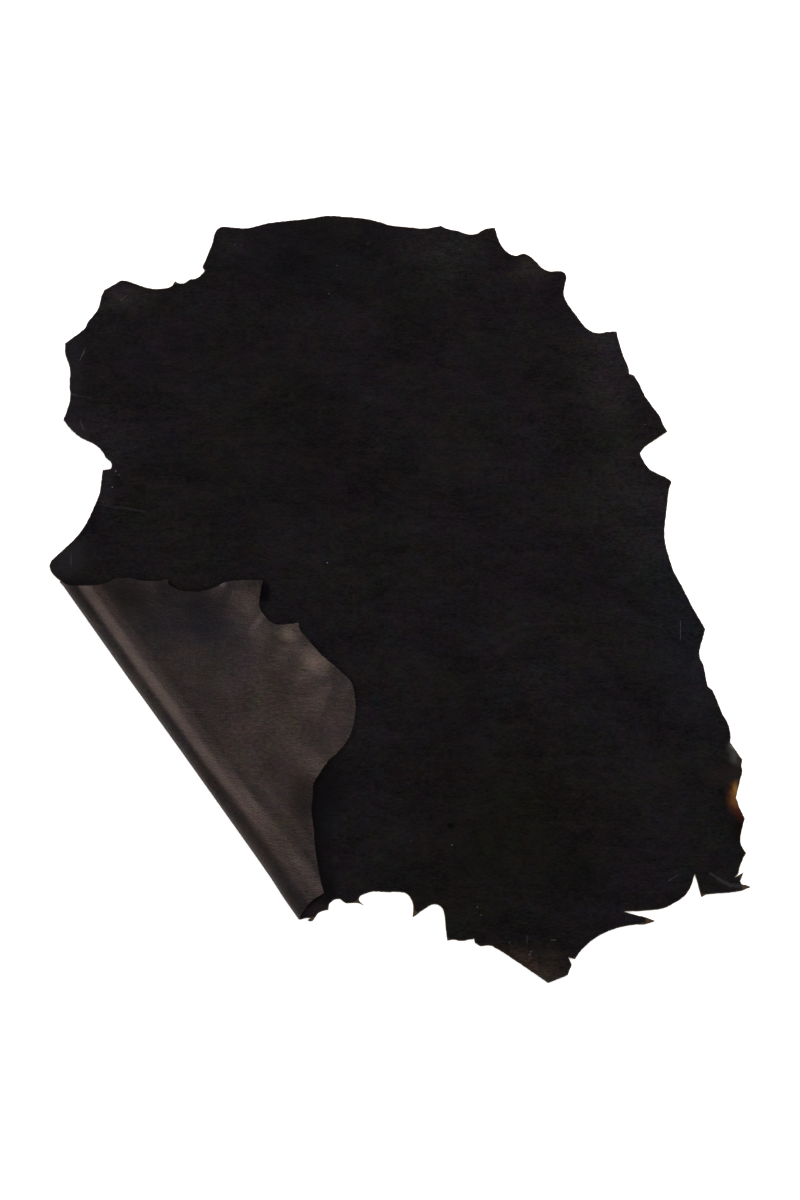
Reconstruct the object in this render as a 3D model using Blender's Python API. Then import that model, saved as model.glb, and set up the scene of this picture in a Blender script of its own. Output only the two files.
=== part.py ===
"""Leather hide: one irregular sheet, laid flesh side up, with its lower left side turned over in a soft roll.

Lengths are in millimetres until the mesh is made. Two sets of coordinates are used.
Plan: the hide as it lies, seen from above, x to the right and y up, from a point near the hide's middle.
Flat cut: the hide unrolled. "along" runs down the fold from its upper end. "across" is measured over the leather from
the fold's outermost line, minus on the lower layer and plus on the turned-over flap.
"""
from bisect import bisect_left
from math import ceil, cos, pi, radians, sin, sqrt

import bpy
from mathutils import Vector
from mathutils.geometry import delaunay_2d_cdt

# Driving dimensions, in mm
THICKNESS = 1.2             # leather
LAYER_GAP = 1.5             # air left between the flap and the layer under it
TUCK_LENGTH = 12.0          # leather of the tight bend at the fold's outermost line
TUCK_TURN = radians(165.0)  # how far that bend turns it
CREST_START = 10.0          # where the roll's broad crest begins, over the leather from the start of the bend
CREST_LENGTH = 16.0
ROLL_DIP = radians(18.0)    # how steeply the flap comes down behind the crest
SETTLE_LENGTH = 12.0        # leather in which the flap levels out again
PLAN_CENTRE = Vector((-7.3, 21.0))

# The fold's outermost line in plan, from its upper to its lower end. Above its upper end it swings out a little.
FOLD_TOP = Vector((-394.0, 22.5))
FOLD_BOTTOM = Vector((-112.8, -365.5))
SWING = 4.0
SWING_FROM, SWING_LENGTH = 10.0, 24.0

# How fine the mesh is
EDGE_STEP = 6.0             # along the cut edge
STATION_STEP = 0.25         # of the fold's section
ROW_TURN = radians(12.0)    # of the leather from one row of the roll to the next
ROW_STEP = 9.0              # longest step from row to row
ROW_SPACING = 15.0          # of the points in a row
FLAP_GRID, LIFT_GRID, LEVEL_GRID = 16.0, 12.0, 45.0
CLEARANCE = 0.45            # of a grid's spacing, kept free beside other points
SNAP = 0.7                  # points of the cut edge closer to a row than this are moved onto it
SAME = 1e-5                 # points closer than this are one

# The lower layer's cut edge in plan, clockwise from the fold's upper end to its lower end. Each run is a smooth
# curve through its (x, y) points and ends in a corner at the first point of the next run.
LOWER_EDGE = (
    ("corner beside the fold", (-394, 22.5), (-399.5, 27), (-404.5, 32.5), (-407, 40), (-406, 45), (-391, 61),
     (-378.5, 74), (-366.5, 92), (-359, 109.5), (-352.5, 127.5), (-350.5, 143.5), (-350, 152.5)),
    ("left notch", (-349, 157), (-340.5, 158.5), (-339, 162), (-341, 167), (-345.5, 170.5), (-350.5, 179),
     (-359, 187.5), (-366, 191), (-379, 197.5), (-388.5, 206)),
    ("left side", (-397.5, 217), (-392, 236.5), (-391, 247.5), (-392.5, 262), (-392.5, 280), (-394.5, 288),
     (-399, 301)),
    ("left shoulder", (-400, 314), (-384.5, 326.5), (-376.5, 334), (-372.5, 343), (-367, 349.5), (-361, 360.5),
     (-358.5, 374)),
    ("neck hollow", (-355.5, 382), (-343, 389.5), (-334.5, 394.5), (-319, 390.5), (-307, 386), (-295, 383.5),
     (-283, 384.5), (-275.5, 386.5)),
    ("neck steps", (-270, 393.5), (-266, 391), (-259.5, 391), (-252, 396), (-245, 397), (-239.5, 401.5)),
    ("neck nick", (-235, 407)),
    ("top, left half", (-238, 411.5), (-234.5, 420.5), (-229.5, 434), (-226.5, 443), (-224.5, 453.5),
     (-221.5, 460), (-216.5, 463.5), (-205.5, 463), (-185, 462), (-161.5, 468), (-136, 471.5), (-108, 474.5),
     (-89, 478), (-69.5, 477), (-42.5, 474.5), (-21, 469), (-12.5, 466), (13.5, 463), (31.5, 461.5)),
    ("top, right half", (50, 465), (56, 461.5), (70.5, 458), (82.5, 454), (91, 454), (104, 461)),
    ("top right step", (115, 462.5), (120.5, 444.5), (125, 436.5), (133, 428.5), (140, 426.5), (150, 429),
     (155, 427), (164, 419), (172, 410), (181.5, 406), (195.5, 406), (200.5, 400), (198, 386), (197, 376),
     (201, 365.5), (210.5, 351), (224, 333), (235.5, 327.5), (249, 329)),
    ("right shoulder", (259, 329.5), (264.5, 305.5), (269, 292), (272.5, 282.5)),
    ("shoulder nick", (273, 276)),
    ("under the shoulder", (278.5, 274), (283.5, 265.5), (290.5, 249), (300.5, 233.5), (307.5, 223), (311.5, 211.5)),
    ("right point", (316, 203.5), (299.5, 192.5), (290, 186)),
    ("waist", (283, 177.5), (285, 171.5), (293, 158.5), (299.5, 154), (312.5, 147.5), (318.5, 142.5), (316.5, 135),
     (314, 120.5), (311.5, 102), (309, 81.5), (310, 65.5), (313.5, 51), (318, 34.5), (325, 20.5), (340, -11)),
    ("right flank", (352.5, -34.5), (349.5, -45), (345.5, -58), (345, -67.5), (348.5, -76), (350.5, -87.5)),
    ("flank step", (353, -101.5)),
    ("flank bulge", (358.5, -106.5), (364.5, -122), (369, -134), (374, -144), (377, -156)),
    ("stained edge, upper", (376, -167)),
    ("stained edge, middle", (389, -187), (387.5, -194)),
    ("stained edge, lower", (388.5, -199.5)),
    ("haunch, upper", (380.5, -229.5), (384, -241)),
    ("haunch, lower", (389.5, -253.5), (386.5, -263.5), (383.5, -277.5), (384.5, -283.5)),
    ("last point", (389.5, -292.5), (385, -300), (380.5, -310), (379.5, -315)),
    ("tag, inner side", (375.5, -319.5), (382, -316)),
    ("tag, outer side", (385.5, -313.5), (383, -320), (381, -324.5)),
    ("lower right point, top", (382.5, -327.5), (387, -328.5)),
    ("lower right point, underside", (392.5, -330.5), (384, -334), (376.5, -336), (348, -338), (342, -339)),
    ("wide slit, right side", (337.5, -341.5)),
    ("wide slit, left side", (331, -316), (326.5, -328.5), (323, -335), (316.5, -342), (295.5, -353.5),
     (280, -356), (263, -357)),
    ("narrow slit", (251, -357.5), (281, -366)),
    ("lower edge, right", (285, -368), (274, -371.5), (259, -372.5), (238.5, -377), (219, -386), (202, -400)),
    ("bite, top", (194.5, -410)),
    ("bite, bottom", (187.5, -408)),
    ("foot, right side", (191, -415.5)),
    ("foot, sole", (186, -427.5)),
    ("lower edge, middle", (164, -436), (131.5, -413.5), (108, -398.5), (100, -395), (90, -395.5), (84, -392)),
    ("step", (82.5, -387.5), (68, -390), (59.5, -388.5)),
    ("arch, right side", (53, -389.5), (51, -374.5), (49, -357.5), (46, -352), (37, -349.5), (26.5, -355.5)),
    ("wide arch", (14, -364.5), (15, -353), (13, -344.5), (7.5, -337.5), (0, -336), (-15, -336), (-30.5, -335.5),
     (-43.5, -340), (-46, -344)),
    ("hook", (-39.5, -351), (-47.5, -348), (-60.5, -348)),
    ("small arch", (-67, -343.5), (-73.5, -344.5), (-78.5, -348.5)),
    ("lower edge, left", (-79.5, -355.5), (-90.5, -358.5), (-96.5, -367), (-99.5, -368.5)),
    ("curl", (-103.5, -367)),
    ("end of the lower edge", (-99.5, -364.5), (-105, -365)),
)

# The flap's cut edge, from the fold's lower end back to its upper end, as (along, reach) in mm: how far down the
# fold, and how far in plan from the fold's outermost line.
FLAP_EDGE = (
    ("mouth of the fold", (480, 0), (476, 8), (472.5, 20.5), (472, 29.5)),
    ("long side", (472.5, 39), (467, 41), (444.5, 51), (422, 62.5), (407.5, 71.5), (390.5, 80.5), (375, 93),
     (365.5, 101), (358.5, 117), (354, 130.5), (352.5, 143), (346.5, 163.5), (328.5, 185.5), (306, 200),
     (294.5, 203.5), (275.5, 200.5), (250.5, 194.5), (227, 192.5), (208.5, 192)),
    ("bay", (203.5, 195), (198, 185), (188.5, 172), (175.5, 168), (161, 169.5), (149, 178.5)),
    ("upper corner", (138, 190), (125.5, 173.5), (117.5, 161)),
    ("shallow bay", (113.5, 153), (112, 139.5), (108, 127.5), (100, 115.5), (90.5, 105), (82.5, 101), (76, 99)),
    ("upper side", (72.5, 102.5), (65.5, 89), (54, 74.5), (47.5, 69.5), (40, 59.5), (36, 53.5), (34, 43),
     (29.5, 31.5), (20, 15), (12.5, 5.5)),
    ("fold's upper end", (2.5, 0)),
)

# Places where the lower layer's rim stands off what it lies on: x, y, radius, height
RIM_LIFTS = (
    (-397, 217, 45, 3.0),
    (316, 203, 35, 2.0),
    (392, -190, 50, 3.0),
    (390, -328, 45, 4.0),
    (164, -436, 45, 2.5),
    (14, -364, 25, 2.0),
)

# Soft swells of the flap: along, reach, half length, half width, height
FLAP_SWELLS = (
    (255, 135, 95, 55, 3.0),
    (385, 60, 70, 34, 1.6),
    (150, 130, 60, 45, 2.0),
    (60, 66, 42, 26, 1.2),
    (400, 20, 130, 20, 2.0),
)


def mix(a, b, t):
    return a + (b - a) * t


def ease(t):
    """Runs from 0 to 1 with a level start and end."""
    t = min(max(t, 0.0), 1.0)
    return t - sin(2 * pi * t) / (2 * pi)


def swell(x, y, half_x, half_y, height):
    """Height of a round swell that is gone at its half sizes."""
    left = max(0.0, 1 - (x / half_x) ** 2 - (y / half_y) ** 2)
    return height * left * left


class Fold:
    """The fold's section, as stations (across, reach, height, slope) of the leather's middle.

    The slope turns from pi on the lower layer, through the upright at the fold's outermost line, to -ROLL_DIP, and
    back to 0 where the flap lies level again. Heights are measured from the lower layer's middle.
    """

    def __init__(self):
        roll_steps = round((CREST_START + CREST_LENGTH) / STATION_STEP)
        settle_steps = round(SETTLE_LENGTH / STATION_STEP)
        crest_turn = pi + ROLL_DIP - TUCK_TURN
        roll = []
        for distance in [(i + 0.5) * STATION_STEP for i in range(roll_steps)]:
            tucked = TUCK_TURN * ease(distance / TUCK_LENGTH)
            roll.append(pi - tucked - crest_turn * ease((distance - CREST_START) / CREST_LENGTH))
        settle = [ROLL_DIP * (ease((i + 0.5) / settle_steps) - 1) for i in range(settle_steps)]
        rise = sum(sin(slope) * STATION_STEP for slope in roll + settle)
        descent = [-ROLL_DIP] * round((rise - THICKNESS - LAYER_GAP) / sin(ROLL_DIP) / STATION_STEP)
        stations = []
        across = reach = height = 0.0
        for slope in roll + descent + settle:
            across += STATION_STEP
            reach += cos(slope) * STATION_STEP
            height += sin(slope) * STATION_STEP
            stations.append((across, reach, height, slope))
        outermost = min(range(len(stations)), key=lambda i: stations[i][1])
        start, shift = stations[outermost][:2]
        self.stations = [(s - start, n - shift, z, slope) for s, n, z, slope in stations]
        self.across = [station[0] for station in self.stations]
        self.lower = self.stations[outermost::-1]
        self.flap = self.stations[outermost:]

    def section(self, across):
        """Reach, height and slope at a distance over the leather."""
        first, last = self.stations[0], self.stations[-1]
        if across <= first[0]:
            return first[1] + first[0] - across, 0.0, pi
        if across >= last[0]:
            return last[1] + across - last[0], last[2], 0.0
        i = bisect_left(self.across, across)
        a, b = self.stations[i - 1], self.stations[i]
        t = (across - a[0]) / (b[0] - a[0])
        return tuple(mix(a[k], b[k], t) for k in (1, 2, 3))

    def across_at(self, reach, branch):
        """Distance over the leather at a reach of the lower layer or the flap."""
        reach = max(reach, 0.0)
        end = branch[-1]
        if reach >= end[1]:
            return end[0] + (reach - end[1]) * (1 if branch is self.flap else -1)
        i = max(bisect_left([station[1] for station in branch], reach), 1)
        a, b = branch[i - 1], branch[i]
        return mix(a[0], b[0], (reach - a[1]) / (b[1] - a[1]))


FOLD = Fold()
ALONG = (FOLD_BOTTOM - FOLD_TOP).normalized()
INWARD = Vector((-ALONG.y, ALONG.x))


def swing(along):
    """How far the fold's outermost line lies outside the straight one."""
    return SWING * ease((SWING_FROM - along) / SWING_LENGTH)


def flap_plan(point):
    return FOLD_TOP + ALONG * point[0] + INWARD * point[1]


def to_flat(plan, branch):
    """A plan point of the lower layer or the flap, in the flat cut."""
    offset = plan - FOLD_TOP
    along = offset.dot(ALONG)
    return Vector((along, FOLD.across_at(offset.dot(INWARD) + swing(along), branch)))


def to_space(flat):
    """Where a point of the flat cut lies, in metres, in the middle of the leather."""
    along, across = flat
    reach, height, _ = FOLD.section(across)
    plan = FOLD_TOP + ALONG * along + INWARD * (reach - swing(along))
    if across > 0:
        height += sum(swell(along - a, reach - r, half_a, half_r, h) for a, r, half_a, half_r, h in FLAP_SWELLS)
    else:
        height += sum(swell(plan.x - x, plan.y - y, radius, radius, h) for x, y, radius, h in RIM_LIFTS)
    plan -= PLAN_CENTRE
    return Vector((plan.x, plan.y, height + THICKNESS / 2)) / 1000


def smooth(points, step):
    """Points on a centripetal curve through the given ones, without its last point."""
    padded = [points[0] * 2 - points[1], *points, points[-1] * 2 - points[-2]]
    curve = []
    for a, b, c, d in zip(padded, padded[1:], padded[2:], padded[3:]):
        first = (b - a).length ** 0.5
        second = first + (c - b).length ** 0.5
        third = second + (d - c).length ** 0.5
        count = max(1, ceil((c - b).length / step))
        for i in range(count):
            t = mix(first, second, i / count)
            ab = a.lerp(b, t / first)
            bc = b.lerp(c, (t - first) / (second - first))
            cd = c.lerp(d, (t - second) / (third - second))
            abc = ab.lerp(bc, t / second)
            bcd = bc.lerp(cd, (t - first) / (third - first))
            curve.append(abc.lerp(bcd, (t - first) / (second - first)))
    return curve


def edge_points(runs, to_plan, end):
    """The plan points of a cut edge, run by run, as far as its end."""
    corners = [to_plan(run[1]) for run in runs] + [end]
    points = []
    for run, corner in zip(runs, corners[1:]):
        points += smooth([to_plan(point) for point in run[1:]] + [corner], EDGE_STEP)
    return points


def flat_outline():
    """The whole cut edge in the flat cut, once round."""
    lower = edge_points(LOWER_EDGE, Vector, flap_plan(FLAP_EDGE[0][1]))
    flap = edge_points(FLAP_EDGE, flap_plan, Vector(LOWER_EDGE[0][1]))
    return [to_flat(p, FOLD.lower) for p in lower] + [to_flat(p, FOLD.flap) for p in flap]


def row_positions():
    """Distances over the leather at which a row of mesh edges runs along the fold."""
    rows = [FOLD.across[0]]
    row_slope = FOLD.stations[0][3]
    for across, _, _, slope in FOLD.stations:
        if abs(slope - row_slope) >= ROW_TURN or across - rows[-1] >= ROW_STEP:
            rows.append(across)
            row_slope = slope
    return rows + [FOLD.across[-1]]


def meet_rows(outline, rows):
    """The outline with its near points moved onto the rows, and a point wherever it crosses one."""
    snapped = []
    for point in outline:
        row = min(rows, key=lambda across: abs(across - point.y))
        snapped.append(Vector((point.x, row)) if abs(row - point.y) < SNAP else point)
    split = []
    for a, b in zip(snapped, snapped[1:] + snapped[:1]):
        split.append(a)
        crossed = [row for row in rows if min(a.y, b.y) < row < max(a.y, b.y)]
        for row in sorted(crossed, key=lambda across: abs(across - a.y)):
            split.append(a.lerp(b, (row - a.y) / (b.y - a.y)))
            split[-1].y = row
    return split


def inside(point, outline):
    """Whether a point lies within the outline."""
    odd = False
    for a, b in zip(outline, outline[1:] + outline[:1]):
        if (a.y > point.y) != (b.y > point.y):
            if point.x < mix(a.x, b.x, (point.y - a.y) / (b.y - a.y)):
                odd = not odd
    return odd


def row_chains(outline, rows):
    """Points inside the outline along each row, and the edges that chain them to the outline's own points."""
    points = list(outline)
    edges = []
    for row in rows:
        on_row = [i for i, point in enumerate(outline) if abs(point.y - row) < SAME]
        on_row.sort(key=lambda i: outline[i].x)
        for i, j in zip(on_row, on_row[1:]):
            a, b = outline[i], outline[j]
            if b.x - a.x > SAME and inside(a.lerp(b, 0.5) + Vector((0, SAME)), outline):
                count = max(1, round((b.x - a.x) / ROW_SPACING))
                chain = [i, *range(len(points), len(points) + count - 1), j]
                points += [a.lerp(b, k / count) for k in range(1, count)]
                edges += zip(chain, chain[1:])
    return points, edges


def grid(low, high, spacing):
    """Points of a triangular grid over a box."""
    row_height = spacing * sqrt(3) / 2
    for j in range(ceil((high.y - low.y) / row_height)):
        for i in range(ceil((high.x - low.x) / spacing)):
            yield Vector((low.x + (i + 0.5 * (j % 2)) * spacing, low.y + j * row_height))


def inner_points(outline, taken):
    """Points off the rows: close together on the flap and where the rim lifts, wide apart where it lies level."""
    low = Vector((min(p.x for p in outline), min(p.y for p in outline)))
    high = Vector((max(p.x for p in outline), max(p.y for p in outline)))
    first_row, last_row = FOLD.across[0], FOLD.across[-1]
    wanted = [(p, FLAP_GRID) for p in grid(Vector((low.x, last_row)), high, FLAP_GRID)]
    for x, y, radius, _ in RIM_LIFTS:
        centre = to_flat(Vector((x, y)), FOLD.lower)
        corner = Vector((radius, radius))
        round_lift = [p for p in grid(centre - corner, centre + corner, LIFT_GRID) if (p - centre).length < radius]
        wanted += [(p, LIFT_GRID) for p in round_lift]
    wanted += [(p, LEVEL_GRID) for p in grid(low, Vector((high.x, first_row)), LEVEL_GRID)]
    chosen = []
    for point, spacing in wanted:
        clear = spacing * CLEARANCE
        alone = all((other - point).length > clear for other in taken + chosen)
        if alone and not first_row < point.y < last_row and inside(point, outline):
            chosen.append(point)
    return chosen


def middle_mesh():
    """The leather's middle as a sheet of triangles that face its flesh side."""
    rows = row_positions()
    outline = meet_rows(flat_outline(), rows)
    points, edges = row_chains(outline, rows)
    points += inner_points(outline, points)
    ring = [(i, (i + 1) % len(outline)) for i in range(len(outline))]
    flat, _, hull = delaunay_2d_cdt(points, ring + edges, [], 0, SAME, False)[:3]
    centres = [sum((flat[i] for i in face), Vector((0, 0))) / 3 for face in hull]
    faces = [face[::-1] for face, centre in zip(hull, centres) if inside(centre, outline)]
    mesh = bpy.data.meshes.new("hide")
    mesh.from_pydata([to_space(p) for p in flat], [], faces)
    return mesh


def leather():
    """Near-black matt leather."""
    material = bpy.data.materials.new("hide")
    material.use_nodes = True
    shader = material.node_tree.nodes["Principled BSDF"]
    shader.inputs["Base Color"].default_value = (0.012, 0.011, 0.012, 1.0)
    shader.inputs["Roughness"].default_value = 0.85
    shader.inputs["Metallic"].default_value = 0.0
    return material


def main():
    for old in list(bpy.data.objects):
        bpy.data.objects.remove(old, do_unlink=True)
    hide = bpy.data.objects.new("hide", middle_mesh())
    hide.data.materials.append(leather())
    hide.data.shade_smooth()
    bpy.context.scene.collection.objects.link(hide)
    body = hide.modifiers.new("thickness", "SOLIDIFY")
    body.thickness = THICKNESS / 1000
    body.offset = 0


if __name__ == "__main__":
    main()
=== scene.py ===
"""Looks of the leather hide: near-black suede, flesh side up, its lower left side turned over in a roll.

Lengths are in millimetres until the mesh is made, and in metres in the materials, lights and camera.
Plan: the hide as it lies, seen from above.
Flat cut: the hide unrolled, with "along" down the fold from its upper end and "across" over the leather
from the fold's outermost line, minus on the lower layer and plus on the turned-over flap.
Reach: the distance in plan from that line.
"""

from math import ceil, pi, radians, sqrt

import bpy
import numpy as np
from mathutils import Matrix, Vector, noise
from mathutils.geometry import delaunay_2d_cdt
from mathutils.kdtree import KDTree


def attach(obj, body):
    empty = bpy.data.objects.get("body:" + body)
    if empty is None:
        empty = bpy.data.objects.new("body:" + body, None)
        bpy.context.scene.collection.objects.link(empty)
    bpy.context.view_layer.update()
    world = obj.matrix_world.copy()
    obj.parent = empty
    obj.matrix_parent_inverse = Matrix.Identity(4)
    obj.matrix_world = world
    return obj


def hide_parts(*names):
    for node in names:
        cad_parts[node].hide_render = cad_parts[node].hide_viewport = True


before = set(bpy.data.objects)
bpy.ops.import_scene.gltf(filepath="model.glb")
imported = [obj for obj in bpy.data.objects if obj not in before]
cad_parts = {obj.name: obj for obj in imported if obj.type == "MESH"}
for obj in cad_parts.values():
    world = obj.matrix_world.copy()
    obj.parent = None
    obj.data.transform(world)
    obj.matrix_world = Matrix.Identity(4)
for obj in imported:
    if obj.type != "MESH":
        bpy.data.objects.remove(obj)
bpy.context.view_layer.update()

# ---------------------------------------------------------------- sizes, as in the part
THICKNESS = 1.2
LAYER_GAP = 1.5             # between the lower layer and the settled flap
TUCK_LENGTH = 12.0          # over which the leather turns up from the lower layer
TUCK_TURN = radians(165.0)
CREST_START = 10.0          # from which it turns over the roll's crest
CREST_LENGTH = 16.0
ROLL_DIP = radians(18.0)    # how steeply it comes down behind the crest
SETTLE_LENGTH = 12.0        # over which it becomes level again
STATION_STEP = 0.25         # between places along the fold's section
PLAN_CENTRE = Vector((-7.3, 21.0))  # the plan place that lies at the origin
FOLD_TOP = Vector((-394.0, 22.5))
FOLD_BOTTOM = Vector((-112.8, -365.5))
SWING = 4.0                 # how far the fold swings outwards at its upper end
SWING_FROM = 10.0
SWING_LENGTH = 24.0
# How far the fold's line lies outside the straight one, as (along, distance), in the looks only
FOLD_BOW = ((0, 0.3), (140, 0.3), (180, -0.35), (250, -0.95), (320, -1.25), (395, -1.45), (425, -1.2),
            (452, 0))

# How fine the sheet is made
EDGE_STEP = 2.0             # between points along the cut edge
FLAP_SPACING = 2.2          # between points of the flap
FLAP_FROM = -10.0           # across, from which the flap's spacing holds
LEVEL_SPACING = 4.7         # between points of the lower layer
CLEARANCE = 0.55            # of the spacing, kept free beside the cut edge
RAGGED = 0.22               # how far the knife's line strays, to either side
RAGGED_LENGTH = 3.1         # over which it does so
RAGGED_LAYER = 0.5          # the layer of the noise that it follows
SAME = 1e-5                 # points closer than this are one
SHARP_ANGLE = radians(50)   # from which an edge between faces shows

# The lower layer's cut edge in plan, clockwise from the fold's upper end to its lower end. Each run is a
# smooth curve through its (x, y) points and ends in a corner at the first point of the next run.
LOWER_EDGE = (
    ("corner beside the fold", (-394, 22.5), (-399.5, 27), (-404.5, 32.5), (-407, 40), (-406, 45),
     (-391, 61), (-378.5, 74), (-366.5, 92), (-359, 109.5), (-352.5, 127.5), (-350.5, 143.5),
     (-350, 152.5)),
    ("left notch", (-349, 157), (-340.5, 158.5), (-339, 162), (-341, 167), (-345.5, 170.5), (-350.5, 179),
     (-359, 187.5), (-366, 191), (-379, 197.5), (-388.5, 206)),
    ("left side", (-397.5, 217), (-392, 236.5), (-391, 247.5), (-392.5, 262), (-392.5, 280), (-394.5, 288),
     (-399, 301)),
    ("left shoulder", (-400, 314), (-384.5, 326.5), (-376.5, 334), (-372.5, 343), (-367, 349.5),
     (-361, 360.5), (-358.5, 374)),
    ("neck hollow", (-355.5, 382), (-343, 389.5), (-334.5, 394.5), (-319, 390.5), (-307, 386),
     (-295, 383.5), (-283, 384.5), (-275.5, 386.5)),
    ("neck steps", (-270, 393.5), (-266, 391), (-259.5, 391), (-252, 396), (-245, 397), (-239.5, 401.5)),
    ("neck nick", (-235, 407)),
    ("top, left half", (-238, 411.5), (-234.5, 420.5), (-229.5, 434), (-226.5, 443), (-224.5, 453.5),
     (-221.5, 460), (-216.5, 463.5), (-205.5, 463), (-185, 462), (-161.5, 468), (-136, 471.5),
     (-108, 474.5), (-89, 478), (-69.5, 477), (-42.5, 474.5), (-21, 469), (-12.5, 466), (13.5, 463),
     (31.5, 461.5)),
    ("top, right half", (50, 465), (56, 461.5), (70.5, 458), (82.5, 454), (91, 454), (104, 461)),
    ("top right step", (115, 462.5), (120.5, 444.5), (125, 436.5), (133, 428.5), (140, 426.5), (150, 429),
     (155, 427), (164, 419), (172, 410), (181.5, 406), (195.5, 406), (200.5, 400), (198, 386), (197, 376),
     (201, 365.5), (210.5, 351), (224, 333), (235.5, 327.5), (249, 329)),
    ("right shoulder", (259, 329.5), (264.5, 305.5), (269, 292), (272.5, 282.5)),
    ("shoulder nick", (273, 276)),
    ("under the shoulder", (278.5, 274), (283.5, 265.5), (290.5, 249), (300.5, 233.5),
     (307.5, 223), (311.5, 211.5)),
    ("right point", (316, 203.5), (299.5, 192.5), (290, 186)),
    ("waist", (283, 177.5), (285, 171.5), (293, 158.5), (299.5, 154), (312.5, 147.5), (318.5, 142.5),
     (316.5, 135), (314, 120.5), (311.5, 102), (309, 81.5), (310, 65.5), (313.5, 51), (318, 34.5),
     (325, 20.5), (340, -11)),
    ("right flank", (352.5, -34.5), (349.5, -45), (345.5, -58), (345, -67.5), (348.5, -76), (350.5, -87.5)),
    ("flank step", (353, -101.5)),
    ("flank bulge", (358.5, -106.5), (364.5, -122), (369, -134), (374, -144), (377, -156)),
    ("stained edge, upper", (376, -167)),
    ("stained edge, middle", (389, -187), (387.5, -194)),
    ("stained edge, lower", (388.5, -199.5)),
    ("haunch, upper", (380.5, -229.5), (384, -241)),
    ("haunch, lower", (389.5, -253.5), (386.5, -263.5), (383.5, -277.5), (384.5, -283.5)),
    ("last point", (389.5, -292.5), (385, -300), (380.5, -310), (379.5, -315)),
    ("tag, inner side", (375.5, -319.5), (382, -316)),
    ("tag, outer side", (385.5, -313.5), (383, -320), (381, -324.5)),
    ("lower right point, top", (382.5, -327.5), (387, -328.5)),
    ("lower right point, underside", (392.5, -330.5), (384, -334), (376.5, -336), (348, -338), (342, -339)),
    ("wide slit, right side", (337.5, -341.5)),
    ("wide slit, left side", (331, -316), (326.5, -328.5), (323, -335), (316.5, -342), (295.5, -353.5),
     (280, -356), (263, -357)),
    ("narrow slit", (251, -357.5), (281, -366)),
    ("lower edge, right", (285, -368), (274, -371.5), (259, -372.5), (238.5, -377),
     (219, -386), (202, -400)),
    ("bite, top", (194.5, -410)),
    ("bite, bottom", (187.5, -408)),
    ("foot, right side", (191, -415.5)),
    ("foot, sole", (186, -427.5)),
    ("lower edge, middle", (164, -436), (131.5, -413.5), (108, -398.5), (100, -395),
     (90, -395.5), (84, -392)),
    ("step", (82.5, -387.5), (68, -390), (59.5, -388.5)),
    ("arch, right side", (53, -389.5), (51, -374.5), (49, -357.5), (46, -352),
     (37, -349.5), (26.5, -355.5)),
    ("wide arch", (14, -364.5), (15, -353), (13, -344.5), (7.5, -337.5), (0, -336), (-15, -336),
     (-30.5, -335.5), (-43.5, -340), (-46, -344)),
    ("hook", (-39.5, -351), (-47.5, -348), (-60.5, -348)),
    ("small arch", (-67, -343.5), (-73.5, -344.5), (-78.5, -348.5)),
    ("lower edge, left", (-79.5, -355.5), (-90.5, -358.5), (-96.5, -367), (-99.5, -368.5)),
    ("curl", (-103.5, -367)),
    ("end of the lower edge", (-99.5, -364.5), (-105, -365)),
)

# The flap's cut edge, from the fold's lower end back to its upper end, as (along, reach)
FLAP_EDGE = (
    ("mouth of the fold", (480, 0), (476, 8), (472.5, 20.5), (472, 29.5)),
    ("long side", (472.5, 39), (467, 41), (444.5, 51), (422, 62.5), (407.5, 71.5), (390.5, 80.5), (375, 93),
     (365.5, 101), (358.5, 117), (354, 130.5), (352.5, 143), (346.5, 163.5), (328.5, 185.5), (306, 200),
     (294.5, 203.5), (275.5, 200.5), (250.5, 194.5), (227, 192.5), (208.5, 192)),
    ("bay", (203.5, 195), (198, 185), (188.5, 172), (175.5, 168), (161, 169.5), (149, 178.5)),
    ("upper corner", (138, 190), (125.5, 173.5), (117.5, 161)),
    ("shallow bay", (113.5, 153), (112, 139.5), (108, 127.5), (100, 115.5), (90.5, 105),
     (82.5, 101), (76, 99)),
    ("upper side", (72.5, 102.5), (65.5, 89), (54, 74.5), (47.5, 69.5), (40, 59.5), (36, 53.5), (34, 43),
     (29.5, 31.5), (20, 15), (12.5, 5.5)),
    ("fold's upper end", (2.5, 0)),
)

# Places where the lower layer's rim stands off what it lies on: x, y, radius, height
RIM_LIFTS = (
    (-397, 217, 45, 3.0),
    (316, 203, 35, 2.0),
    (392, -190, 50, 3.0),
    (390, -328, 45, 4.0),
    (164, -436, 45, 2.5),
    (14, -364, 25, 2.0),
)

# Soft swells of the flap: along, reach, half length, half width, height
FLAP_SWELLS = (
    (255, 135, 95, 55, 3.0),
    (385, 60, 70, 34, 1.6),
    (150, 130, 60, 45, 2.0),
    (60, 66, 42, 26, 1.2),
    (400, 20, 130, 20, 2.0),
)

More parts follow.
